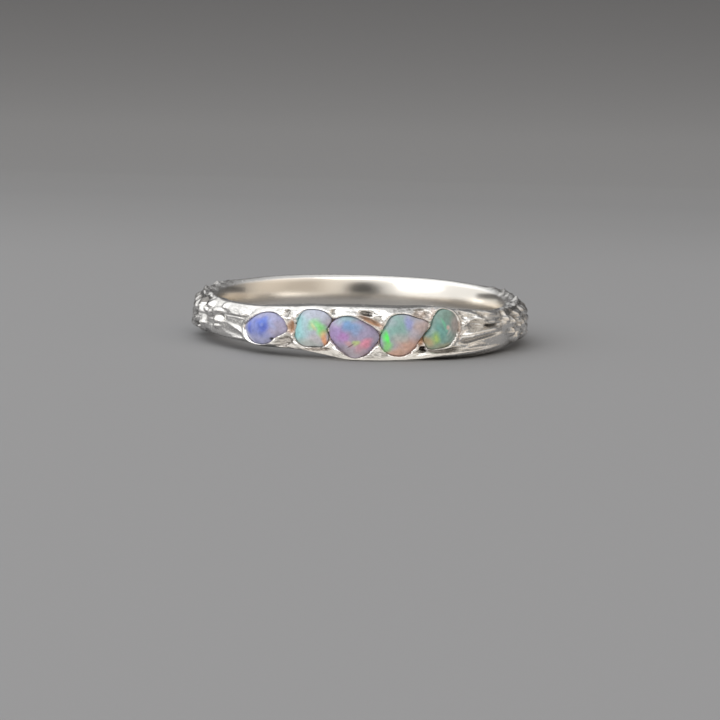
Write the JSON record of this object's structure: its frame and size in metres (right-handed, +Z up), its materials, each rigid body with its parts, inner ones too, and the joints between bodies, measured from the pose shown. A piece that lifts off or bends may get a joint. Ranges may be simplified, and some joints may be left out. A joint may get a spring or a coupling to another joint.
{
  "type": "stackable ring with inlaid opals, one of a stack, lying on its side",
  "caption": "Narrow cast silver stacking ring with a row of irregular opals inlaid across its front and rough cast shoulders.",
  "frame": {"origin": "middle of the finger hole, on the ground that the ring's side rests on", "axes": "+Z up along the finger hole's axis, -Y towards the opals, +X to the right as they are seen"},
  "size_m": [0.0206, 0.0207, 0.0031],
  "materials": {
    "silver": "polished",
    "opal_blue": "polished",
    "opal_pale": "polished",
    "opal_violet": "polished",
    "opal_green": "polished"
  },
  "bodies": {
    "root": {"band": "silver", "opal_left": "opal_blue", "opal_centre_left": "opal_pale", "opal_centre": "opal_violet", "opal_centre_right": "opal_pale", "opal_right": "opal_green"}
  },
  "joints": []
}
